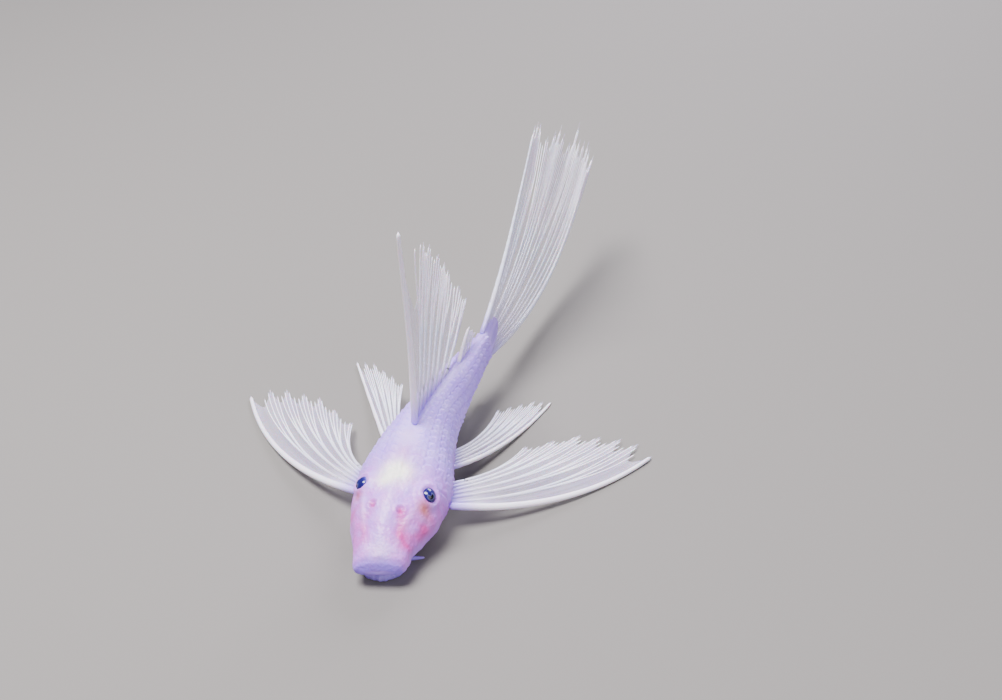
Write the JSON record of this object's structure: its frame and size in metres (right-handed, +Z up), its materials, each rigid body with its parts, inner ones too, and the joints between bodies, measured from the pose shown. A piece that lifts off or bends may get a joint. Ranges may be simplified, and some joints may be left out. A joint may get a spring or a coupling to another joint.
{
  "type": "bristlenose pleco fish model",
  "caption": "Still, life-size model of a young pale long-finned bristlenose catfish resting on its sucker mouth and paired fins, with its tail lifted and swung to its left.",
  "frame": {"origin": "centre of the model's bounding box at floor level", "axes": "+Z up, -Y the way the head points, +X the fish's left side"},
  "size_m": [0.059, 0.085, 0.0414],
  "materials": {
    "skin": "satin",
    "lips": "satin",
    "eyes": "gloss",
    "fins": "satin"
  },
  "bodies": {
    "root": {"head": "skin", "trunk": "skin", "tail_stalk": "skin", "mouth_disc": "lips", "eye_left": "eyes", "eye_right": "eyes", "dorsal_fin": "fins", "adipose_fin": "fins", "caudal_fin": "fins", "anal_fin": "fins", "pectoral_fin_left": "fins", "pectoral_fin_right": "fins", "pelvic_fin_left": "fins", "pelvic_fin_right": "fins"}
  },
  "joints": []
}
